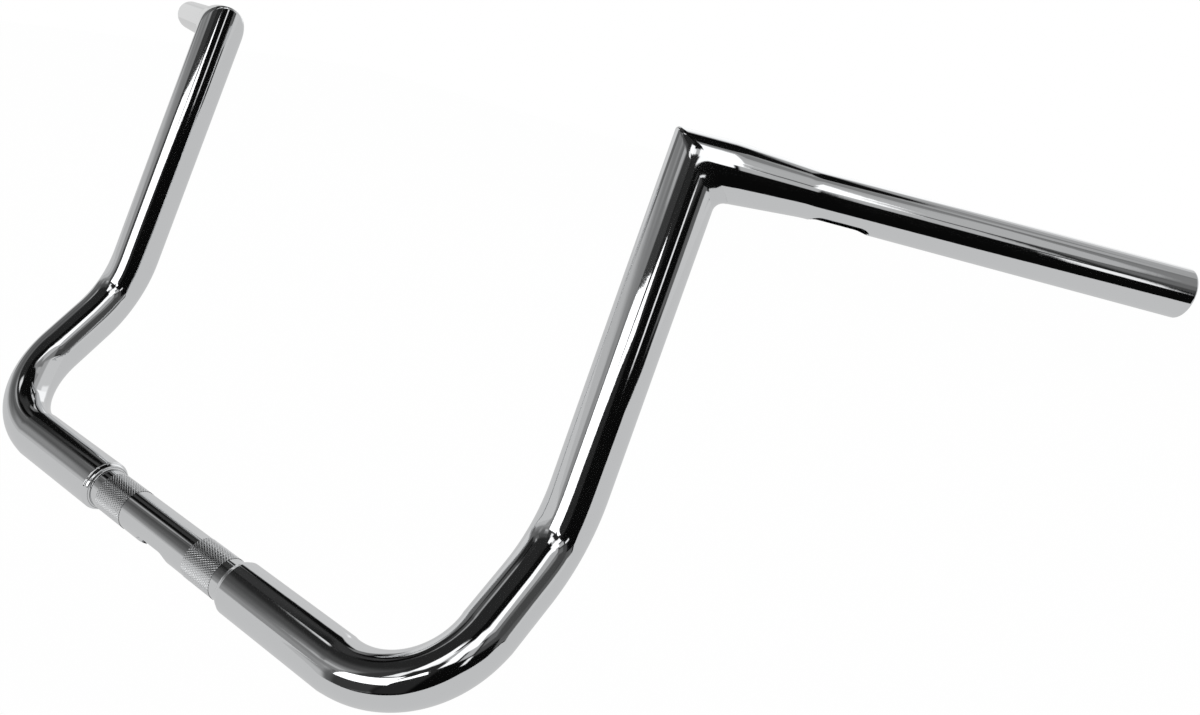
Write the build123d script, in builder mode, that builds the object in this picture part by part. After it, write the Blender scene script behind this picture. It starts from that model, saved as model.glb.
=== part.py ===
from build123d import *
from math import cos, radians, sin
import os

# Motorcycle handlebar: a 1 in clamp tube carries two bent 1-1/4 in risers, and each riser ends
# in a pointed mitre with a grip tube that tapers down to 1 in.
# Origin at the middle of the clamp tube, +X to the rider's left, +Y back to the rider, +Z up.
# Lengths are millimetres and angles are degrees.

# Clamp tube, the straight bar that the riser clamps hold
clamp_diameter = 25.4
clamp_wall = 3.2
clamp_span = 127.0            # bare length between the two shoulders
socket_depth = 40.0           # how far each end runs inside its riser
socket_clearance = 0.05       # radial gap that lets the end slide in before welding
lead_in = 1.5                 # chamfer on the hidden ends
band_offset = 43.6            # from the middle of the bar to the middle of a knurled band
band_length = 25.0
band_height = 0.2             # crests of the knurl above the tube

# Wiring slot in the middle of the clamp tube
centre_slot_length = 30.0
centre_slot_width = 13.0
centre_slot_dip = 45.0        # how far it faces down, below straight forward

# Risers, one bent tube a side
riser_diameter = 31.75
shoulder_length = 4.2         # axial length of the rounded end
shoulder_drop = 2.0           # how far the rounding comes down from the tube's surface
low_corner_offset = 200.5     # from the middle of the bar to the corner of the lower bend
low_run = 115.7               # between the corners of the two bends
low_lean_angle = 51.3         # back from upright
low_splay_angle = 2.0         # outward
low_bend_radius = 56.7        # on the tube's axis
high_run = 208.4              # from the corner of the upper bend to the mitre
high_lean_angle = 15.0
high_splay_angle = -1.9       # negative, so the risers draw in towards the top
high_bend_radius = 89.2

# Grip tubes, mitred to the tops of the risers
grip_diameter = 25.4
grip_wall = 3.1
grip_run = 249.0              # from the mitre to the open end
grip_pullback = 30.7          # back from straight sideways
grip_droop = 2.3
taper_start = 19.0            # from the mitre along the axis
taper_length = 40.0
taper_blend = 80.0            # radius that runs the cone into the straight lengths
end_round = 1.2               # outer edge of the open end

# Wiring slots under the grip tubes
grip_slot_length = 31.5
grip_slot_width = 13.0
grip_slot_offset = 78.0       # from the mitre to the middle of the slot
grip_slot_turn = 13.5         # forward from straight down

# Hollow weld fillet between a riser's end face and the clamp tube
step_weld_leg = 1.175

# Weld fillet in the inside corner of each mitre
mitre_weld_radius = 6.0
mitre_weld_angle = 75.0       # how far round the seam it runs, each way from the corner

# Values that follow
clamp_radius = clamp_diameter / 2
riser_radius = riser_diameter / 2
riser_bore_radius = clamp_radius + socket_clearance
land_radius = riser_radius - shoulder_drop     # outer edge of a riser's end face
grip_radius = grip_diameter / 2
shoulder_x = clamp_span / 2
overcut = riser_diameter      # stock that a cut removes, and the reach of a cutter past a wall


def heading(side, splay, lean):
    """Direction of a riser's run: up, leaned back and splayed out to its own side."""
    return Vector(side * sin(radians(splay)), cos(radians(splay)) * sin(radians(lean)),
                  cos(radians(splay)) * cos(radians(lean)))


def grip_heading(side):
    """Direction of a grip tube, from the mitre to the open end."""
    level = cos(radians(grip_droop))
    return Vector(side * level * cos(radians(grip_pullback)), level * sin(radians(grip_pullback)),
                  -sin(radians(grip_droop)))


def low_corner(side):
    return Vector(side * low_corner_offset, 0, 0)


def high_corner(side):
    return low_corner(side) + heading(side, low_splay_angle, low_lean_angle) * low_run


def mitre_point(side):
    return high_corner(side) + heading(side, high_splay_angle, high_lean_angle) * high_run


def mitre_plane(side):
    """Plane of the cut, facing along the grip. Its X points into the inside corner."""
    rising = heading(side, high_splay_angle, high_lean_angle)
    leaving = grip_heading(side)
    return Plane(mitre_point(side), x_dir=leaving - rising, z_dir=leaving + rising)


def make_clamp_tube():
    with BuildPart() as tube:
        with BuildSketch(Plane.YZ):
            Circle(clamp_radius)
            Circle(clamp_radius - clamp_wall, mode=Mode.SUBTRACT)
        extrude(amount=shoulder_x + socket_depth, both=True)
        ends = tube.edges().filter_by(GeomType.CIRCLE).group_by(lambda edge: edge.radius)[-1]
        chamfer(ends, lead_in)
        for side in (1, -1):
            with BuildSketch(Plane.YZ.offset(side * band_offset)):
                Circle(clamp_radius + band_height)
                Circle(clamp_radius, mode=Mode.SUBTRACT)
            extrude(amount=band_length / 2, both=True)
        facing = Vector(0, -cos(radians(centre_slot_dip)), -sin(radians(centre_slot_dip)))
        with BuildSketch(Plane(origin=(0, 0, 0), x_dir=(1, 0, 0), z_dir=facing)):
            SlotOverall(centre_slot_length, centre_slot_width)
        extrude(amount=overcut, mode=Mode.SUBTRACT)
    return tube.part


def make_riser(side):
    rising = heading(side, high_splay_angle, high_lean_angle)
    start = Vector(side * shoulder_x, 0, 0)
    with BuildPart() as tube:
        with BuildLine():
            FilletPolyline(start, low_corner(side), high_corner(side),
                           mitre_point(side) + rising * overcut,
                           radius=[low_bend_radius, high_bend_radius])
        with BuildSketch(Plane(start, z_dir=(side, 0, 0))):
            Circle(riser_radius)
            Circle(riser_bore_radius, mode=Mode.SUBTRACT)
        sweep()
        split(bisect_by=mitre_plane(side), keep=Keep.BOTTOM)
        with BuildSketch(Plane(start, x_dir=(side, 0, 0), z_dir=(0, -side, 0))):
            with BuildLine():
                rounding = EllipticalCenterArc((shoulder_length, land_radius), shoulder_length,
                                               shoulder_drop, start_angle=90, arc_size=90)
                Polyline(rounding @ 0, (shoulder_length, riser_radius + overcut),
                         (-overcut, riser_radius + overcut), (-overcut, land_radius), rounding @ 1)
            make_face()
        revolve(axis=Axis.X, mode=Mode.SUBTRACT)
    return tube.part


def make_grip(side):
    leaving = grip_heading(side)
    axis = Axis(mitre_point(side), leaving)
    taper_end = taper_start + taper_length
    with BuildPart() as tube:
        with BuildSketch(Plane(mitre_point(side), x_dir=leaving, z_dir=mitre_plane(side).y_dir)):
            with BuildLine():
                outer = FilletPolyline((-overcut, riser_radius), (taper_start, riser_radius),
                                       (taper_end, grip_radius), (grip_run, grip_radius),
                                       radius=taper_blend)
                inner = Polyline((-overcut, riser_bore_radius), (taper_start, riser_bore_radius),
                                 (taper_end, grip_radius - grip_wall),
                                 (grip_run, grip_radius - grip_wall))
                Line(outer @ 0, inner @ 0)
                Line(outer @ 1, inner @ 1)
            make_face()
        revolve(axis=axis)
        split(bisect_by=mitre_plane(side), keep=Keep.TOP)
        open_end = tube.edges().filter_by(GeomType.CIRCLE).sort_by(axis)[-2:]
        fillet(open_end.sort_by(SortBy.RADIUS)[-1], end_round)
        down = Vector(0, 0, -1)
        below = (down - leaving * down.dot(leaving)).normalized()
        facing = below.rotate(Axis((0, 0, 0), leaving), -side * grip_slot_turn)
        with BuildSketch(Plane(mitre_point(side) + leaving * grip_slot_offset, x_dir=leaving, z_dir=facing)):
            SlotOverall(grip_slot_length, grip_slot_width)
        extrude(amount=overcut, mode=Mode.SUBTRACT)
    return tube.part


def make_step_weld(side):
    """Hollow fillet in the corner between a riser's end face and the clamp tube."""
    leg = min(step_weld_leg, land_radius - clamp_radius)
    with BuildPart() as weld:
        with BuildSketch(Plane(Vector(side * shoulder_x, 0, 0), x_dir=(side, 0, 0), z_dir=(0, -side, 0))):
            with BuildLine():
                face = CenterArc((-leg, clamp_radius + leg), leg, start_angle=270, arc_size=90)
                Polyline(face @ 1, (0, clamp_radius), face @ 0)
            make_face()
        revolve(axis=Axis.X)
    return weld.part


def make_mitre_weld(side):
    seam_plane = mitre_plane(side)
    rising = heading(side, high_splay_angle, high_lean_angle)
    leaving = grip_heading(side)
    half_turn = radians(rising.get_angle(leaving) / 2)
    leg = mitre_weld_radius * sin(half_turn) / cos(half_turn)
    throat = mitre_weld_radius * (1 / cos(half_turn) - 1)
    with BuildPart() as weld:
        with BuildLine(seam_plane):
            seam = EllipticalCenterArc((0, 0), riser_radius / cos(half_turn), riser_radius,
                                       start_angle=-mitre_weld_angle, arc_size=2 * mitre_weld_angle)
        root = seam @ 0
        with BuildSketch(Plane(root, x_dir=seam_plane.x_dir, z_dir=seam_plane.y_dir)) as section:
            with BuildLine():
                down_riser = section.workplanes[0].to_local_coords(root - rising * leg)
                along_grip = section.workplanes[0].to_local_coords(root + leaving * leg)
                Polyline(down_riser, (0, 0), along_grip)
                ThreePointArc(along_grip, (throat, 0), down_riser)
            make_face()
        sweep(path=seam, normal=seam_plane.y_dir)
    return weld.part


def save(piece, name):
    piece.label = name
    export_step(piece, f"parts/{name}.step")


os.makedirs("parts", exist_ok=True)
save(make_clamp_tube(), "clamp_tube")
for side, hand in ((1, "left"), (-1, "right")):
    save(make_riser(side), f"{hand}_riser_tube")
    save(make_grip(side), f"{hand}_grip_tube")
    save(make_step_weld(side), f"{hand}_step_weld")
    save(make_mitre_weld(side), f"{hand}_mitre_weld")
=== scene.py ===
from math import atan2, cos, pi, radians, sin, tan

import bmesh
import bpy
import numpy as np
from mathutils import Euler, Matrix, Vector


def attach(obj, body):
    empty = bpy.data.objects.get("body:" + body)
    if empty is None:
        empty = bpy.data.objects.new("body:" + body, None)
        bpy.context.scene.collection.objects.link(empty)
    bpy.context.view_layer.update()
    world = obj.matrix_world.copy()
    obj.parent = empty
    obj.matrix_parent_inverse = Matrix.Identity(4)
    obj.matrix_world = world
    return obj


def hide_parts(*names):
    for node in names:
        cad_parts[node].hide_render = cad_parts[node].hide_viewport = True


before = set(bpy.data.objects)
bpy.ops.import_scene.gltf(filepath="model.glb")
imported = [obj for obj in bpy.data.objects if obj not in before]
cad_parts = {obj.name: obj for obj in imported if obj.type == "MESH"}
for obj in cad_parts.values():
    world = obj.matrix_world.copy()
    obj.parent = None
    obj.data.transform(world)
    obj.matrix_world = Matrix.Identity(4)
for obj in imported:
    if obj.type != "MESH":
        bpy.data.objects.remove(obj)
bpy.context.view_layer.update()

# Sizes in metres and angles in degrees, the same as the CAD model's
CLAMP_R = 0.0127
CLAMP_WALL = 0.0032
SHOULDER_X = 0.0635
SOCKET = 0.040
BAND_X = 0.0436
BAND_LENGTH = 0.025
BAND_HEIGHT = 0.0002
CENTRE_SLOT = (0.030, 0.013)
CENTRE_SLOT_DIP = 45.0
RISER_R = 0.015875
SHOULDER_LENGTH = 0.0042
SHOULDER_DROP = 0.0020
LOW_CORNER = 0.2005
LOW_RUN = 0.1157
LOW_LEAN, LOW_SPLAY = 51.3, 2.0
LOW_BEND = 0.0567
HIGH_RUN = 0.2084
HIGH_LEAN, HIGH_SPLAY = 15.0, -1.9
HIGH_BEND = 0.0892
GRIP_R = 0.0127
GRIP_WALL = 0.0031
GRIP_RUN = 0.249
GRIP_PULLBACK, GRIP_DROOP = 30.7, 2.3
TAPER_START, TAPER_LENGTH, TAPER_BLEND = 0.019, 0.040, 0.080
END_ROUND = 0.0012
GRIP_SLOT = (0.0315, 0.013)
GRIP_SLOT_AT = 0.078
GRIP_SLOT_TURN = 13.5
BORE_R = CLAMP_R + 0.00005
LAND_R = RISER_R - SHOULDER_DROP

# Finish that only the looks need
AROUND = 160                  # facets round a tube
ROW_SPACING = 0.003           # between the rows of facets along a riser
BEND_FINER = 1.6              # times as many rows in a bend
OVAL_LOW, OVAL_HIGH = 0.10, 0.03    # how much a bend flattens the tube
OVAL_BESIDE = 0.35            # share of the flattening that widens the tube
LOW_BEND_TOP = 0.55           # of the upper corner's height, with the lower bend below it
CREASE_FROM, CREASE_TO = 0.3, 0.66   # part of the upper bend in which its reflections turn
MITRE_CLEAR = 1.6             # riser radii below the mitre that the joint's own rows cover
JOINT_STEPS = 14              # rows across the mitre's rounding
ROUNDING_SPAN = 0.6           # of the way across the tube, in which the rounding grows to its full radius
TAPER_STEPS = 8
SLOT_STEPS = 24               # facets round each end of a slot
CUTTER_DEPTH = 0.03
LEAD_IN = 0.0015              # chamfer on the clamp tube's hidden ends
TRUE_NORMAL = 0.85            # cosine from which a facet takes the normal of the true surface
CREST_ROUND = 0.0018          # polished edge on the outside of the mitre
INSIDE_ROUND = 0.006          # weld in the inside corner
TOE_SHADE = 0.06              # of the chrome's colour, left in the lines of painted shade along the shoulder's weld
KNURL_DEPTH = 0.00015
KNURL_STARTS = 48             # grooves of one hand round the band
KNURL_ALONG = 0.0025          # length of a diamond along the tube
KNURL_GROOVE = 0.32           # share of the pitch that a groove takes
KNURL_AROUND, KNURL_ROWS = 720, 200
BAND_SINK = 0.0001            # how far the tube stays below the knurl's grooves

# Arcs of a riser's rounded end, with the low step that its edge shows, from the end face to the body:
# centre, radii, start, end, steps, outward
SHOULDER_ARCS = (
    ((0.00575, LAND_R), (0.00575, 0.001695), 180, 126, 10, 1.0),
    ((0.002221, 0.016032), (0.0008, 0.0008), -78, -40, 6, -1.0),
    ((0.0036, RISER_R - 0.001), (0.001, 0.001), 140, 90, 8, 1.0),
)


def heading(side, splay, lean):
    return Vector((side * sin(radians(splay)), cos(radians(splay)) * sin(radians(lean)),
                   cos(radians(splay)) * cos(radians(lean))))


def grip_heading(side):
    level = cos(radians(GRIP_DROOP))
    return Vector((side * level * cos(radians(GRIP_PULLBACK)), level * sin(radians(GRIP_PULLBACK)),
                   -sin(radians(GRIP_DROOP))))


def corners(side):
    low = Vector((side * LOW_CORNER, 0, 0))
    high = low + heading(side, LOW_SPLAY, LOW_LEAN) * LOW_RUN
    return low, high, high + heading(side, HIGH_SPLAY, HIGH_LEAN) * HIGH_RUN


# Meshes

def grid_normals(points, closed=True):
    """Unit normals of a grid of points (rows, around, 3), by differences, facing out of the tube."""
    if closed:
        around = np.roll(points, -1, 1) - np.roll(points, 1, 1)
    else:
        around = np.gradient(points, axis=1)
    along = np.empty_like(points)
    along[1:-1] = points[2:] - points[:-2]
    along[0] = points[1] - points[0]
    along[-1] = points[-1] - points[-2]
    normals = np.cross(around, along)
    return normals / np.maximum(np.linalg.norm(normals, axis=2, keepdims=True), 1e-12)


def add_patches(name, patches, material, replaced=()):
    """One piece from closed grids, each given as (points, normals), with those normals kept."""
    verts, normals, faces = [], [], []
    for points, shading in patches:
        rows, around = points.shape[:2]
        base = sum(len(v) for v in verts)
        verts.append(points.reshape(-1, 3))
        normals.append(shading.reshape(-1, 3))
        i, j = np.meshgrid(np.arange(rows - 1), np.arange(around), indexing="ij")
        k = (j + 1) % around
        quads = np.stack([i * around + j, i * around + k,
                          (i + 1) * around + k, (i + 1) * around + j], -1)
        across = np.roll(points, -1, 1)[:-1] - points[:-1]
        if np.sum(np.cross(across, points[1:] - points[:-1]) * shading[:-1]) < 0:
            quads = quads[..., ::-1]
        faces.append(quads.reshape(-1, 4) + base)
    mesh = bpy.data.meshes.new(name)
    mesh.from_pydata(np.concatenate(verts).tolist(), [], np.concatenate(faces).tolist())
    mesh.polygons.foreach_set("use_smooth", [True] * len(mesh.polygons))
    mesh.normals_split_custom_set_from_vertices(np.concatenate(normals).tolist())
    return add_piece(name, mesh, material, replaced)


def add_piece(name, mesh, material, replaced):
    piece = bpy.data.objects.new(name, mesh)
    bpy.context.scene.collection.objects.link(piece)
    mesh.materials.append(material)
    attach(piece, "root")
    if replaced:
        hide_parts(*replaced)
    return piece


def turned(u, v, turn):
    """The directions u and v, turned in their own plane."""
    return u * cos(turn) + v * sin(turn), v * cos(turn) - u * sin(turn)


def directions(u, v, count=AROUND):
    angle = np.arange(count) * 2 * pi / count
    return np.cos(angle)[:, None] * np.array(u)[None] + np.sin(angle)[:, None] * np.array(v)[None]


def revolved(origin, axis, u, v, profile):
    """Grid and normals from a profile of (along, radius, slope normal along, slope normal out)."""
    e = directions(u, v)
    rows, shading = [], []
    for along, radius, n_along, n_out in profile:
        rows.append(np.array(origin) + np.array(axis) * along + e * radius)
        shading.append(np.array(axis) * n_along + e * n_out)
    return np.array(rows), np.array(shading)


def arc_profile(centre, radii, start, end, steps, outward=1.0):
    """Profile rows along an ellipse from angle start to end, in degrees; outward -1 for a hollow."""
    rows = []
    for k in range(steps + 1):
        a = radians(start + (end - start) * k / steps)
        n = Vector((cos(a) / radii[0], sin(a) / radii[1])).normalized() * outward
        rows.append((centre[0] + radii[0] * cos(a), centre[1] + radii[1] * sin(a), n.x, n.y))
    return rows


def tube_path(points, bends, spacing):
    """Stations along the tube: centre, tangent, u, v, direction to the bend's centre, share of the bend."""
    here = points[0].copy()
    tangent = (points[1] - points[0]).normalized()
    u = tangent.orthogonal().normalized()
    v = tangent.cross(u)
    stations = []

    def straight(to, inward):
        length = (to - here).length
        count = max(2, int(length / spacing))
        for k in range(count):
            stations.append((here + (to - here) * (k / count), tangent.copy(), u.copy(), v.copy(),
                             inward, 0.0))

    inward = Vector((0, 0, 1))
    for corner, after, radius in zip(points[1:-1], points[2:], bends):
        leaving = (after - corner).normalized()
        turn = tangent.angle(leaving)
        axis = tangent.cross(leaving).normalized()
        inward = axis.cross(tangent)
        set_back = radius * tan(turn / 2)
        start = corner - tangent * set_back
        straight(start, inward)
        centre = start + inward * radius
        count = max(8, int(radius * turn / spacing * BEND_FINER))
        for k in range(count):
            rotation = Matrix.Rotation(turn * k / count, 3, axis)
            stations.append((centre - rotation @ inward * radius, rotation @ tangent, rotation @ u,
                             rotation @ v, rotation @ inward, k / count))
        rotation = Matrix.Rotation(turn, 3, axis)
        here = centre - rotation @ inward * radius
        tangent, u, v, inward = rotation @ tangent, rotation @ u, rotation @ v, rotation @ inward
    straight(points[-1], inward)
    stations.append((points[-1].copy(), tangent.copy(), u.copy(), v.copy(), inward, 0.0))
    return stations


def mitre_frame(side):
    """Joint of riser and grip: point, rising, leaving, plane normal, half of the turn."""
    point = corners(side)[2]
    rising, leaving = heading(side, HIGH_SPLAY, HIGH_LEAN), grip_heading(side)
    return point, rising, leaving, (rising + leaving).normalized(), rising.angle(leaving) / 2


def mitre_rounding(e, side):
    """Radius of the rounding between the two tubes for each direction e round them."""
    _, rising, leaving, _, half = mitre_frame(side)
    inner = (leaving - rising).normalized()
    toward = e @ np.array(inner) / cos(half)
    share = np.clip((toward + 1) / ROUNDING_SPAN, 0, 1)
    share = share * share * (3 - 2 * share)
    return CREST_ROUND + (INSIDE_ROUND - CREST_ROUND) * share


def mitre_rim(e, radius, side, direction):
    """Where the lines along a tube, in directions e round it, meet the plane of the mitre."""
    point, _, _, normal, _ = mitre_frame(side)
    reach = -(e @ np.array(normal)) * radius / float(direction.dot(normal))
    return np.array(point) + e * radius + reach[:, None] * np.array(direction)


def mitre_basis(side, direction):
    """Directions across a tube at the mitre: u into the inside corner, v along the seam's short axis."""
    _, rising, leaving, _, _ = mitre_frame(side)
    v = rising.cross(leaving).normalized()
    return v.cross(direction), v


def crease(share):
    """How far the shading has turned at a share of the upper bend: all of it in the bend's middle part."""
    t = min(max((share - CREASE_FROM) / (CREASE_TO - CREASE_FROM), 0.0), 1.0)
    return t * t * (3 - 2 * t)


def make_riser(side, hand):
    low, high, top = corners(side)
    rising = heading(side, HIGH_SPLAY, HIGH_LEAN)
    start = Vector((side * SHOULDER_X, 0, 0))
    stations = tube_path([start, low, high, top], [LOW_BEND, HIGH_BEND], ROW_SPACING)
    kept = [station for station in stations
            if not ((station[0] - top).length < RISER_R * MITRE_CLEAR and station[5] == 0)]
    # Turn the stations' frame so that it ends in line with the mitre's own directions
    u_end, v_end = mitre_basis(side, rising)
    last = stations[-1]
    turn = atan2(u_end.dot(last[3]), u_end.dot(last[2]))
    rows, leans, axes = [], [0.0], [Vector((0, 0, 1))]
    bend_turn = heading(side, LOW_SPLAY, LOW_LEAN).angle(rising)
    for centre, tangent, u, v, inward, share in kept:
        along = (centre - start).dot(Vector((side, 0, 0)))
        if share == 0 and abs(tangent.x * side - 1) < 1e-6 and along < SHOULDER_LENGTH:
            continue
        e = directions(*turned(u, v, turn))
        is_low = centre.z < high.z * LOW_BEND_TOP
        flat = OVAL_LOW * sin(pi * share) ** 0.7 if is_low else OVAL_HIGH * sin(pi * share) ** 2
        leans.append(0.0 if is_low else bend_turn * (crease(share) - share))
        side_way = tangent.cross(inward)
        axes.append(side_way)
        across = (e @ np.array(inward))[:, None] * np.array(inward) * (1 - flat)
        beside = (e @ np.array(side_way))[:, None] * np.array(side_way) * (1 + flat * OVAL_BESIDE)
        rows.append(np.array(centre) + (across + beside) * RISER_R)
    u0, v0 = turned(stations[0][2], stations[0][3], turn)
    rounding = [row for arc in SHOULDER_ARCS for row in arc_profile(*arc)]
    outward = Vector((side, 0, 0))
    shoulder = revolved(start, outward, u0, v0, rounding)
    rows.insert(0, shoulder[0][-1])
    e_end = directions(u_end, v_end)
    rim = mitre_rim(e_end, RISER_R, side, rising)
    half = mitre_frame(side)[4]
    rows.append(rim - np.array(rising) * (mitre_rounding(e_end, side) * tan(half))[:, None])
    body = np.array(rows)
    normals = grid_normals(body)
    if np.sum(normals[0] * directions(u0, v0)) < 0:
        normals = -normals
    for k, (lean, axis) in enumerate(zip(leans, axes)):
        normals[k] = normals[k] @ np.array(Matrix.Rotation(lean, 3, axis)).T
    normals[0] = directions(u0, v0)
    normals[-1] = e_end
    face = revolved(start, outward, u0, v0, [(0, BORE_R, -1, 0), (0, LAND_R, -1, 0)])
    inner = []
    for centre, _, u, v, _, _ in kept:
        inner.append(np.array(centre) + directions(*turned(u, v, turn)) * BORE_R)
    inner.append(mitre_rim(e_end, BORE_R, side, rising))
    inner = np.array(inner)[::-1]
    inner_normals = grid_normals(inner)
    if np.sum(inner_normals[-1] * directions(u0, v0)) > 0:
        inner_normals = -inner_normals
    add_patches(f"{hand}_riser_skin", [face, shoulder, (body, normals), (inner, inner_normals)],
                CHROME, [f"{hand}_riser_tube"])


def make_mitre(side, hand):
    """Ground and polished joint round the whole seam: a crest outside, a hollow weld inside."""
    _, rising, leaving, _, half = mitre_frame(side)
    d1, d2 = np.array(rising), np.array(leaving)
    u1, v1 = mitre_basis(side, rising)
    e = directions(u1, v1)
    rim = mitre_rim(e, RISER_R, side, rising)
    radius = mitre_rounding(e, side)
    set_back = radius * tan(half)
    inward = d2 - d1 * float(d1 @ d2)
    inward /= np.linalg.norm(inward)
    rows, shading = [], []
    ring = np.roll(rim, -1, 0) - np.roll(rim, 1, 0)
    for k in range(JOINT_STEPS + 1):
        phi = 2 * half * k / JOINT_STEPS
        p = (rim - d1 * set_back[:, None] + d1 * (radius * sin(phi))[:, None]
             + inward * (radius * (1 - cos(phi)))[:, None])
        path = d1 * cos(phi) + inward * sin(phi)
        n = np.cross(ring, path[None])
        n /= np.maximum(np.linalg.norm(n, axis=1, keepdims=True), 1e-12)
        if np.sum(n * e) < 0:
            n = -n
        rows.append(p)
        shading.append(n)
    add_patches(f"{hand}_mitre_joint", [(np.array(rows), np.array(shading))], CHROMED_WELD,
                [f"{hand}_mitre_weld"])


def cone_profile():
    """Outer profile of a grip tube from the end of the mitre rounding to the open end."""
    slope = atan2(RISER_R - GRIP_R, TAPER_LENGTH)
    set_back = TAPER_BLEND * tan(slope / 2)
    taper_end = TAPER_START + TAPER_LENGTH
    rows = []
    for k in range(TAPER_STEPS + 1):
        a = slope * k / TAPER_STEPS
        rows.append((TAPER_START - set_back + TAPER_BLEND * sin(a),
                     RISER_R - TAPER_BLEND * (1 - cos(a)), sin(a), cos(a)))
    for k in range(TAPER_STEPS + 1):
        a = slope * (1 - k / TAPER_STEPS)
        rows.append((taper_end + set_back - TAPER_BLEND * sin(a),
                     GRIP_R + TAPER_BLEND * (1 - cos(a)), sin(a), cos(a)))
    rows += arc_profile((GRIP_RUN - END_ROUND, GRIP_R - END_ROUND), (END_ROUND, END_ROUND), 90, 0, 6)
    return rows


def stadium_cutter(origin, along, across, facing, size):
    """Cutter with round ends, reaching from the tube's axis out through its wall."""
    length, width = size
    half, r = length / 2 - width / 2, width / 2
    outline = []
    for end in (1, -1):
        for k in range(SLOT_STEPS + 1):
            a = radians(-90 * end + 180 * k / SLOT_STEPS)
            outline.append((end * half + r * cos(a), r * sin(a)))
    verts = [origin + along * x + across * y + facing * z
             for z in (0.0, CUTTER_DEPTH) for x, y in outline]
    n = len(outline)
    faces = [list(range(n))[::-1], list(range(n, 2 * n))]
    faces += [[k, (k + 1) % n, n + (k + 1) % n, n + k] for k in range(n)]
    mesh = bpy.data.meshes.new("cutter")
    mesh.from_pydata([tuple(p) for p in verts], [], faces)
    mesh.validate()
    cutter = bpy.data.objects.new("cutter", mesh)
    bpy.context.scene.collection.objects.link(cutter)
    return cutter


def cut_slot(piece, cutter, outer_normal):
    """Cuts a slot and keeps the true normals on the tube's outer surface."""
    boolean = piece.modifiers.new("slot", "BOOLEAN")
    boolean.operation = "DIFFERENCE"
    boolean.solver = "EXACT"
    boolean.object = cutter
    bpy.context.view_layer.update()
    graph = bpy.context.evaluated_depsgraph_get()
    mesh = bpy.data.meshes.new_from_object(piece.evaluated_get(graph))
    piece.modifiers.clear()
    material = piece.data.materials[0]
    piece.data = mesh
    mesh.materials.clear()
    mesh.materials.append(material)
    set_normals(mesh, outer_normal)
    bpy.data.objects.remove(cutter)


def set_normals(mesh, outer_normal):
    """Gives the tube's round surfaces their true normals, and leaves the flat and cut ones as they are."""
    count = len(mesh.vertices)
    co = np.empty(count * 3)
    mesh.vertices.foreach_get("co", co)
    co = co.reshape(-1, 3)
    loops = np.empty(len(mesh.loops), int)
    mesh.loops.foreach_get("vertex_index", loops)
    face_normals = np.empty(len(mesh.polygons) * 3)
    mesh.polygons.foreach_get("normal", face_normals)
    face_normals = face_normals.reshape(-1, 3)
    totals = np.empty(len(mesh.polygons), int)
    mesh.polygons.foreach_get("loop_total", totals)
    per_loop = np.repeat(face_normals, totals, 0)
    true = outer_normal(co)[loops]
    agree = np.sum(per_loop * true, 1)
    result = np.where(agree[:, None] > TRUE_NORMAL, true,
                      np.where(agree[:, None] < -TRUE_NORMAL, -true, per_loop))
    mesh.polygons.foreach_set("use_smooth", [True] * len(mesh.polygons))
    mesh.normals_split_custom_set(result.tolist())


def closed_mesh(name, points):
    """Closed mesh from a grid of points (rows, around, 3) whose last row is its first again."""
    bm = bmesh.new()
    rows, around = points.shape[:2]
    grid = [[bm.verts.new(p) for p in row] for row in points]
    for i in range(rows - 1):
        for j in range(around):
            k = (j + 1) % around
            bm.faces.new((grid[i][j], grid[i][k], grid[i + 1][k], grid[i + 1][j]))
    bmesh.ops.remove_doubles(bm, verts=bm.verts, dist=1e-7)
    bmesh.ops.recalc_face_normals(bm, faces=bm.faces)
    mesh = bpy.data.meshes.new(name)
    bm.to_mesh(mesh)
    bm.free()
    return mesh


def make_grip(side, hand):
    point, _, leaving, _, half = mitre_frame(side)
    u2, v2 = mitre_basis(side, leaving)
    e = directions(u2, v2)
    rim = mitre_rim(e, RISER_R, side, leaving)
    start = rim + np.array(leaving) * (mitre_rounding(e, side) * tan(half))[:, None]
    outer = [start]
    profile = cone_profile()
    inner_r = GRIP_R - GRIP_WALL
    inner = [(GRIP_RUN, inner_r), (TAPER_START + TAPER_LENGTH, inner_r), (TAPER_START, BORE_R)]
    for along, radius in [row[:2] for row in profile] + inner:
        outer.append(np.array(point) + np.array(leaving) * along + e * radius)
    outer.append(mitre_rim(e, BORE_R, side, leaving))
    outer.append(start)
    mesh = closed_mesh(f"{hand}_grip_skin", np.array(outer))
    piece = add_piece(f"{hand}_grip_skin", mesh, CHROME, [f"{hand}_grip_tube"])
    below = Vector((0, 0, -1))
    below = (below - leaving * below.dot(leaving)).normalized()
    facing = Matrix.Rotation(radians(-side * GRIP_SLOT_TURN), 3, leaving) @ below
    cutter = stadium_cutter(point + leaving * GRIP_SLOT_AT, leaving, facing.cross(leaving), facing,
                            GRIP_SLOT)
    stations = np.array([row[0] for row in profile])
    n_along = np.array([row[2] for row in profile])
    n_out = np.array([row[3] for row in profile])

    def outer_normal(co):
        relative = co - np.array(point)
        along = relative @ np.array(leaving)
        radial = relative - along[:, None] * np.array(leaving)
        radial /= np.maximum(np.linalg.norm(radial, axis=1, keepdims=True), 1e-9)
        a = np.interp(along, stations, n_along, left=0.0)
        o = np.interp(along, stations, n_out, left=1.0)
        n = radial * o[:, None] + np.array(leaving) * a[:, None]
        return n / np.linalg.norm(n, axis=1, keepdims=True)

    cut_slot(piece, cutter, outer_normal)


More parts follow.
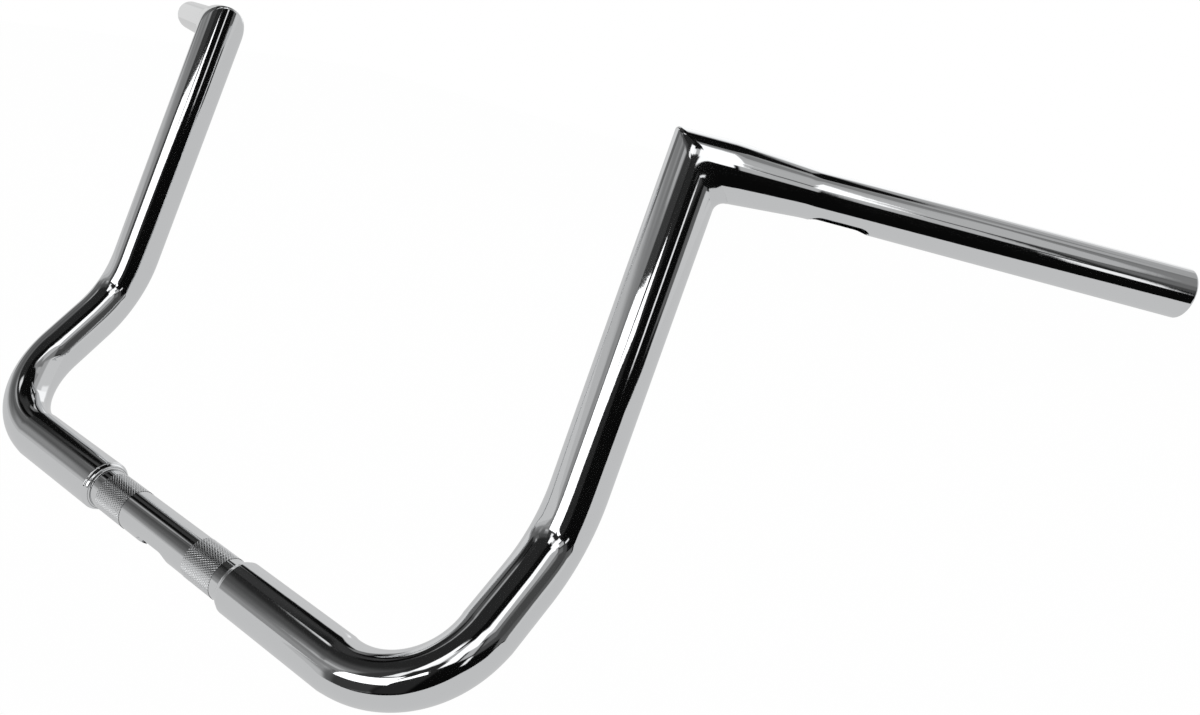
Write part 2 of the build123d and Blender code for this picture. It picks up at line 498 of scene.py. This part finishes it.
def make_clamp():
    x = Vector((1, 0, 0))
    u, v = Vector((0, 1, 0)), Vector((0, 0, 1))
    inner_r = CLAMP_R - CLAMP_WALL
    end = SHOULDER_X + SOCKET
    band_r = CLAMP_R - KNURL_DEPTH + BAND_HEIGHT - BAND_SINK
    profile = [(-end, inner_r), (-end, CLAMP_R - LEAD_IN), (-end + LEAD_IN, CLAMP_R)]
    for side in (-1, 1):
        a, b = sorted((side * (BAND_X - BAND_LENGTH / 2), side * (BAND_X + BAND_LENGTH / 2)))
        profile += [(a, CLAMP_R), (a, band_r), (b, band_r), (b, CLAMP_R)]
    profile += [(end - LEAD_IN, CLAMP_R), (end, CLAMP_R - LEAD_IN), (end, inner_r), (-end, inner_r)]
    e = directions(u, v)
    rows = np.array([np.array(x) * along + e * radius for along, radius in profile])
    mesh = closed_mesh("clamp_tube_skin", rows)
    piece = add_piece("clamp_tube_skin", mesh, CHROME, ["clamp_tube"])
    dip = radians(CENTRE_SLOT_DIP)
    facing = Vector((0, -cos(dip), -sin(dip)))
    cutter = stadium_cutter(Vector((0, 0, 0)), x, facing.cross(x), facing, CENTRE_SLOT)

    def outer_normal(co):
        radial = co * np.array([0, 1, 1])
        return radial / np.maximum(np.linalg.norm(radial, axis=1, keepdims=True), 1e-9)

    cut_slot(piece, cutter, outer_normal)


def make_knurl(side, hand):
    """Rolled diamond knurl: two crossing sets of helical grooves, cut as real relief."""
    e = directions(Vector((0, 1, 0)), Vector((0, 0, 1)), KNURL_AROUND)
    turn = np.arange(KNURL_AROUND) / KNURL_AROUND
    rows = []
    for k in range(KNURL_ROWS + 1):
        x = BAND_X + BAND_LENGTH * (k / KNURL_ROWS - 0.5)
        from_grooves = [np.abs(((KNURL_STARTS * turn + hand_of * x / KNURL_ALONG) % 1.0) * 2 - 1)
                        for hand_of in (1, -1)]
        height = np.clip(np.minimum(*from_grooves) / KNURL_GROOVE, 0, 1)
        height = height * height * (3 - 2 * height)
        radius = CLAMP_R + BAND_HEIGHT - KNURL_DEPTH * (1 - height)
        rows.append(np.array([side * x, 0, 0]) + e * radius[:, None])
    points = np.array(rows)
    normals = grid_normals(points)
    if np.sum(normals[1] * e) < 0:
        normals = -normals
    add_patches(f"{hand}_knurl", [(points, normals)], KNURLED)


def make_step_weld(side, hand):
    leg = LAND_R - CLAMP_R
    profile = arc_profile((-leg, LAND_R), (leg, leg), 270, 360, 10, -1.0)
    u, v = Vector((0, 1, 0)), Vector((0, 0, 1))
    grid = revolved((side * SHOULDER_X, 0, 0), (side, 0, 0), u, v, profile)
    add_patches(f"{hand}_step_weld_skin", [grid], STEP_WELD, [f"{hand}_step_weld"])


# Materials

DULL_TINT = 0.97              # of the colour, in the duller patches
DULL_ROUGH = 1.9              # times the roughness there
DULL_FROM, DULL_TO = 0.35, 0.75
TOE_STOPS = (0.22, 0.66)      # part of the weld between its edges of painted shade
WELD_FINISH = ((0.78, 0.79, 0.80), 0.05, 0.12, 0.06)    # colour, roughness, waves, grain


def new_material(name):
    material = bpy.data.materials.new(name)
    material.use_nodes = True
    nodes, links = material.node_tree.nodes, material.node_tree.links
    return material, nodes, links, nodes["Principled BSDF"]


def chrome(name, colour, rough, wave, grain):
    """Chrome plate: faint waves of hand polishing, fine hairlines and patches that are a little duller."""
    material, nodes, links, shader = new_material(name)
    shader.inputs["Metallic"].default_value = 1.0
    place = nodes.new("ShaderNodeTexCoord")

    def noise(scale, detail):
        node = nodes.new("ShaderNodeTexNoise")
        node.inputs["Scale"].default_value = scale
        node.inputs["Detail"].default_value = detail
        links.new(place.outputs["Object"], node.inputs["Vector"])
        return node.outputs["Fac"]

    def bump(height, strength, distance):
        node = nodes.new("ShaderNodeBump")
        node.inputs["Strength"].default_value = strength
        node.inputs["Distance"].default_value = distance
        links.new(height, node.inputs["Height"])
        return node

    patches = noise(scale=28.0, detail=5.0)
    tint = nodes.new("ShaderNodeMixRGB")
    tint.inputs["Color1"].default_value = (*[c * DULL_TINT for c in colour], 1)
    tint.inputs["Color2"].default_value = (*colour, 1)
    links.new(patches, tint.inputs["Fac"])
    links.new(tint.outputs["Color"], shader.inputs["Base Color"])
    dull = nodes.new("ShaderNodeMapRange")
    dull.inputs["From Min"].default_value, dull.inputs["From Max"].default_value = DULL_FROM, DULL_TO
    dull.inputs["To Min"].default_value = rough
    dull.inputs["To Max"].default_value = rough * DULL_ROUGH
    links.new(patches, dull.inputs["Value"])
    links.new(dull.outputs["Result"], shader.inputs["Roughness"])
    swell = bump(noise(scale=60.0, detail=2.0), wave, distance=0.001)
    fine = bump(noise(scale=900.0, detail=3.0), grain, distance=0.0001)
    links.new(swell.outputs["Normal"], fine.inputs["Normal"])
    links.new(fine.outputs["Normal"], shader.inputs["Normal"])
    return material


def paint_toe_shade(material):
    """Painted shade: thin dark lines at the two edges of the weld round the clamp tube, standing in for the
    shade held in the crevices there.
    """
    nodes, links = material.node_tree.nodes, material.node_tree.links
    shader = nodes["Principled BSDF"]
    plate = shader.inputs["Base Color"].links[0].from_socket
    place = nodes.new("ShaderNodeTexCoord")
    flat = nodes.new("ShaderNodeVectorMath")
    flat.operation = "MULTIPLY"
    flat.inputs[1].default_value = (0, 1, 1)
    links.new(place.outputs["Object"], flat.inputs[0])
    reach = nodes.new("ShaderNodeVectorMath")
    reach.operation = "LENGTH"
    links.new(flat.outputs[0], reach.inputs[0])
    across = nodes.new("ShaderNodeMapRange")
    across.inputs["From Min"].default_value = CLAMP_R
    across.inputs["From Max"].default_value = LAND_R
    links.new(reach.outputs["Value"], across.inputs["Value"])
    # Painted shade: dark at both edges of the weld, plain chrome colour between them
    toes = nodes.new("ShaderNodeValToRGB")
    stops = toes.color_ramp.elements
    stops[0].color = stops[1].color = (*[TOE_SHADE] * 3, 1)
    for position in TOE_STOPS:
        stops.new(position).color = (1, 1, 1, 1)
    links.new(across.outputs["Result"], toes.inputs["Fac"])
    shade = nodes.new("ShaderNodeMixRGB")
    shade.blend_type = "MULTIPLY"
    shade.inputs["Fac"].default_value = 1.0
    links.new(plate, shade.inputs["Color1"])
    links.new(toes.outputs["Color"], shade.inputs["Color2"])
    links.new(shade.outputs["Color"], shader.inputs["Base Color"])
    return material


CHROME = chrome("polished_chrome", (0.80, 0.81, 0.82), 0.035, 0.05, 0.03)
CHROMED_WELD = chrome("chromed_weld", *WELD_FINISH)
# Chrome of the weld round the clamp tube, with painted shade in thin lines at its two edges
STEP_WELD = paint_toe_shade(chrome("step_weld_chrome", *WELD_FINISH))
KNURLED = chrome("knurled_chrome", (0.78, 0.79, 0.80), 0.05, 0.02, 0.05)

make_clamp()
for side, hand in ((1, "left"), (-1, "right")):
    make_riser(side, hand)
    make_mitre(side, hand)
    make_grip(side, hand)
    make_step_weld(side, hand)
    make_knurl(side, hand)

# Camera, at the photograph's angle, for a frame of 1200 by 715
camera_data = bpy.data.cameras.new("camera")
camera_data.sensor_width = 36.0
camera_data.lens = 30.178
camera_data.shift_x = 0.08326
camera_data.shift_y = -0.02888
camera_data.clip_start = 0.01
camera_data.clip_end = 100.0
camera = bpy.data.objects.new("camera", camera_data)
camera.location = (0.42993, -0.33114, 0.32526)
camera.rotation_euler = Euler([radians(a) for a in (72.8688, -11.7447, 38.4234)], "XYZ")
bpy.context.scene.collection.objects.link(camera)
bpy.context.scene.camera = camera


# Studio

# Brightness of the room by direction: middle and width round the compass (0 is +Y, 90 is +X), bottom and
# top above the horizon, softness of the edge, lean of the sides, brightness. Later lines cover earlier
# ones. Placed to give the reflections that the bar shows from the camera's side.
ROOM = 0.004
PANELS = (
    (22, 118, -90, 46, 4, 0.0, 0.66),         # pale wall behind the bar
    (34, 104, 42, 58, 6, 1.2, 0.42),          # its upper part, falling off
    (42, 80, 58, 84, 5, 2.7, 0.30),
    (44, 24, 56, 70, 8, 0.4, 0.44),
    (72, 24, 58, 74, 8, 0.0, 0.20),
    (96, 30, 34, 84, 10, -0.3, 0.24),
    (130, 36, 39, 66, 5, -1.2, 0.50),
    (110, 18, 62, 84, 6, 0.0, 0.45),
    (-9, 26, 4, 26, 8, 0.0, 1.0),
    (-22, 28, 6, 38, 4, 0.0, 1.15),
    (-20, 19, 36, 47, 4, 0.0, 1.0),
    (-19, 17, 46, 53, 4, 0.0, 0.50),
    (-30, 44, 51, 66, 6, 0.0, 0.003),
    (-140, 84, 40, 72, 8, 0.0, 0.022),        # rider's right, upper wall
    (-76, 40, 44, 56, 8, 0.0, 0.040),
    (-104, 10, 55, 66, 4, 0.0, 0.9),
    (-119, 86, -90, 44, 10, 0.0, 0.075),      # grey wall on the rider's right, brighter lower down
    (-119, 86, -90, 31, 14, 0.0, 0.13),
    (-119, 86, -90, 18, 12, 0.0, 0.24),
    (-119, 86, -90, 8, 9, 0.0, 0.54),
    (-150, 16, -30, 11, 8, 1.0, 0.30),
    (-159, 12, -30, 12, 5, 0.0, 0.13),
    (-89, 16, 3, 27, 5, -0.1, 0.15),
    (-86, 20, 27, 40, 4, 0.0, 0.02),
    (-128, 10, 13, 26, 9, 0.6, 0.30),
    (-154, 20, 16, 30, 10, 0.2, 0.28),
    (-149, 11, 18.5, 24, 3, 0.0, 0.47),
    (-111, 16, 33, 43, 5, 0.0, 0.13),
    (-94, 12, 40, 50, 4, 0.0, 0.003),
    (-108, 7, 40, 46, 3, 0.0, 0.38),
    (-45, 28, -90, 35, 4, 0.0, 0.66),
    (-68, 20, -90, 33, 3, -0.1, 0.72),
    (-59, 7, 14, 36, 3, 0.0, 0.16),
    (-65, 14, 24, 40, 3, -0.5, 0.004),
    (-61, 8, 35, 43, 3, 0.0, 0.2),
    (130, 84, -90, 16, 5, 0.0, 0.003),        # dark room behind the camera
    (87, 14, 1, 14, 3, 0.0, 0.13),
    (86, 18, 7, 17, 3, 0.0, 0.11),
    (102, 34, 15, 36, 5, 0.0, 0.07),
    (111, 14, 26, 38, 5, 0.0, 0.16),
    (128, 12, 21, 36, 3, 0.0, 0.50),
    (160, 24, -30, 40, 6, 0.0, 0.022),
    (-172, 28, -30, 40, 6, 0.0, 0.045),
    (141, 28, 35, 52, 4, 0.0, 1.4),           # soft box over the camera
    (137, 28, 46, 57, 4, 0.0, 1.4),
    (132, 18, 54, 66, 4, -0.3, 1.4),
    (145, 14, 24.5, 38, 2, 0.0, 1.3),
    (130, 14, 58, 80, 4, -0.5, 1.3),
    (177, 14, 35, 56, 4, 0.0, 1.4),
    (167, 8, 37, 49, 3, 0.0, 1.2),
    (159, 8, 38, 52, 3, 0.0, 0.5),
    (-177, 9, 25.5, 36, 2, 0.0, 1.1),
    (122, 4.5, 6.5, 17.5, 2, 0.0, 1.05),
)

# Sheet of white paper that the bar stood on, seen in the chrome but not by the camera
PAPER = ((3, 0), (0.62, 0), (0.38, -0.055), (0.21, -0.037), (0.13, -0.05), (0.06, -0.1), (-0.7, -1.4),
         (-3, -1.4), (-3, 3), (3, 3))
PAPER_Z = -0.017
PAPER_LEVEL = 0.63

# Two soft boxes in front of the bar, as outlines (x, z) in the plane y = BOX_Y
BOX_Y = -1.98
BOX_LEVEL = 1.7
BOX = ((-0.67, -0.02), (-0.67, 0.71), (-0.62, 0.765), (-0.5, 0.79), (-0.2, 0.81), (0.05, 0.825),
       (0.25, 0.85), (0.47, 0.875), (0.44, 0.72), (0.43, 0.56), (0.46, 0.45), (0.4, -0.02))
SIDE_BOX = ((0.4, -0.02), (0.43, 0.5), (0.49, 0.62), (0.57, 0.73), (0.63, 0.79), (0.7, 0.87),
            (0.78, 0.95), (0.86, 1), (0.94, 1), (1.02, 0.95), (1.06, 0.84), (1.12, 0.79), (1.18, 0.72),
            (0.9, 0.63), (0.7, 0.49), (0.58, 0.35), (0.52, 0.17), (0.52, -0.02))

# White floor below the bar
FLOOR_Z = -0.35
FLOOR_REACH = 6
FLOOR_GLOW = 0.95             # share of plain white that the camera sees in it


def make_world():
    world = bpy.data.worlds.new("studio")
    bpy.context.scene.world = world
    world.use_nodes = True
    nodes, links = world.node_tree.nodes, world.node_tree.links
    nodes.clear()
    output = nodes.new("ShaderNodeOutputWorld")
    place = nodes.new("ShaderNodeTexCoord")
    split = nodes.new("ShaderNodeSeparateXYZ")
    links.new(place.outputs["Generated"], split.inputs[0])

    def maths(kind, *values):
        node = nodes.new("ShaderNodeMath")
        node.operation = kind
        for k, value in enumerate(values):
            if isinstance(value, (int, float)):
                node.inputs[k].default_value = value
            else:
                links.new(value, node.inputs[k])
        return node.outputs[0]

    up = maths("MULTIPLY", maths("ARCSINE", split.outputs["Z"]), 180 / pi)

    def ramp(value, low, high):
        node = nodes.new("ShaderNodeMapRange")
        node.interpolation_type = "SMOOTHSTEP"
        links.new(value, node.inputs["Value"])
        node.inputs["From Min"].default_value = low
        node.inputs["From Max"].default_value = high
        return node.outputs["Result"]

    def window(middle, width, bottom, top, soft, lean):
        """1 inside a patch of directions, width degrees about its middle and from bottom to top, else 0."""
        east, north = sin(radians(middle)), cos(radians(middle))
        ahead = maths("ADD", maths("MULTIPLY", split.outputs["X"], east),
                      maths("MULTIPLY", split.outputs["Y"], north))
        across = maths("SUBTRACT", maths("MULTIPLY", split.outputs["X"], north),
                       maths("MULTIPLY", split.outputs["Y"], east))
        off = maths("MULTIPLY", maths("ARCTAN2", across, ahead), 180 / pi)
        if lean:
            height = maths("SUBTRACT", up, max(bottom, 0))
            off = maths("SUBTRACT", off, maths("MULTIPLY", height, lean))
        off = maths("ABSOLUTE", off)
        inside = maths("SUBTRACT", 1.0, ramp(off, (width - soft) / 2, (width + soft) / 2))
        above = ramp(up, bottom - soft / 2, bottom + soft / 2)
        below = maths("SUBTRACT", 1.0, ramp(up, top - soft / 2, top + soft / 2))
        return maths("MULTIPLY", maths("MULTIPLY", inside, above), below)

    level = ROOM
    for middle, width, bottom, top, soft, lean, brightness in PANELS:
        mask = window(middle, width, bottom, top, soft, lean)
        level = maths("ADD", maths("MULTIPLY", level, maths("SUBTRACT", 1.0, mask)),
                      maths("MULTIPLY", mask, brightness))
    room = nodes.new("ShaderNodeBackground")
    room.inputs["Color"].default_value = (1, 1, 1, 1)
    links.new(level, room.inputs["Strength"])
    white = nodes.new("ShaderNodeBackground")
    white.inputs["Color"].default_value = (1, 1, 1, 1)
    white.inputs["Strength"].default_value = 1.0
    ray = nodes.new("ShaderNodeLightPath")
    mix = nodes.new("ShaderNodeMixShader")
    links.new(ray.outputs["Is Glossy Ray"], mix.inputs["Fac"])
    links.new(white.outputs[0], mix.inputs[1])
    links.new(room.outputs[0], mix.inputs[2])
    links.new(mix.outputs[0], output.inputs["Surface"])


def make_glow_card(name, points, outlines, level):
    """White sheet that glows in the chrome's reflections, and that the camera and the floor don't see."""
    mesh = bpy.data.meshes.new(name)
    mesh.from_pydata(points, [], outlines)
    card = bpy.data.objects.new(name, mesh)
    bpy.context.scene.collection.objects.link(card)
    material = bpy.data.materials.new(name)
    material.use_nodes = True
    nodes, links = material.node_tree.nodes, material.node_tree.links
    nodes.clear()
    glow = nodes.new("ShaderNodeEmission")
    glow.inputs["Color"].default_value = (1, 1, 1, 1)
    glow.inputs["Strength"].default_value = level
    links.new(glow.outputs[0], nodes.new("ShaderNodeOutputMaterial").inputs["Surface"])
    mesh.materials.append(material)
    card.visible_camera = False
    card.visible_diffuse = False
    card.visible_shadow = False


def make_floor():
    r = FLOOR_REACH
    mesh = bpy.data.meshes.new("floor")
    mesh.from_pydata([(-r, -r, 0), (r, -r, 0), (r, r, 0), (-r, r, 0)], [], [(0, 1, 2, 3)])
    floor = bpy.data.objects.new("floor", mesh)
    floor.location = (0, 0, FLOOR_Z)
    bpy.context.scene.collection.objects.link(floor)
    material, nodes, links, shader = new_material("floor")
    shader.inputs["Base Color"].default_value = (0.9, 0.9, 0.9, 1)
    shader.inputs["Roughness"].default_value = 0.9
    glow = nodes.new("ShaderNodeEmission")
    glow.inputs["Color"].default_value = (1, 1, 1, 1)
    ray = nodes.new("ShaderNodeLightPath")
    mix = nodes.new("ShaderNodeMixShader")
    share = nodes.new("ShaderNodeMath")
    share.operation = "MULTIPLY"
    share.inputs[1].default_value = FLOOR_GLOW
    links.new(ray.outputs["Is Camera Ray"], share.inputs[0])
    links.new(share.outputs[0], mix.inputs["Fac"])
    links.new(shader.outputs[0], mix.inputs[1])
    links.new(glow.outputs[0], mix.inputs[2])
    links.new(mix.outputs[0], nodes["Material Output"].inputs["Surface"])
    mesh.materials.append(material)
    floor.visible_glossy = False


make_world()
make_glow_card("paper", [(x, y, PAPER_Z) for x, y in PAPER], [range(len(PAPER))], PAPER_LEVEL)
make_glow_card("soft_box", [(x, BOX_Y, z) for x, z in BOX], [range(len(BOX))], BOX_LEVEL)
make_glow_card("side_box", [(x, BOX_Y, z) for x, z in SIDE_BOX], [range(len(SIDE_BOX))], BOX_LEVEL)
make_floor()

bpy.context.scene.view_settings.view_transform = "Standard"
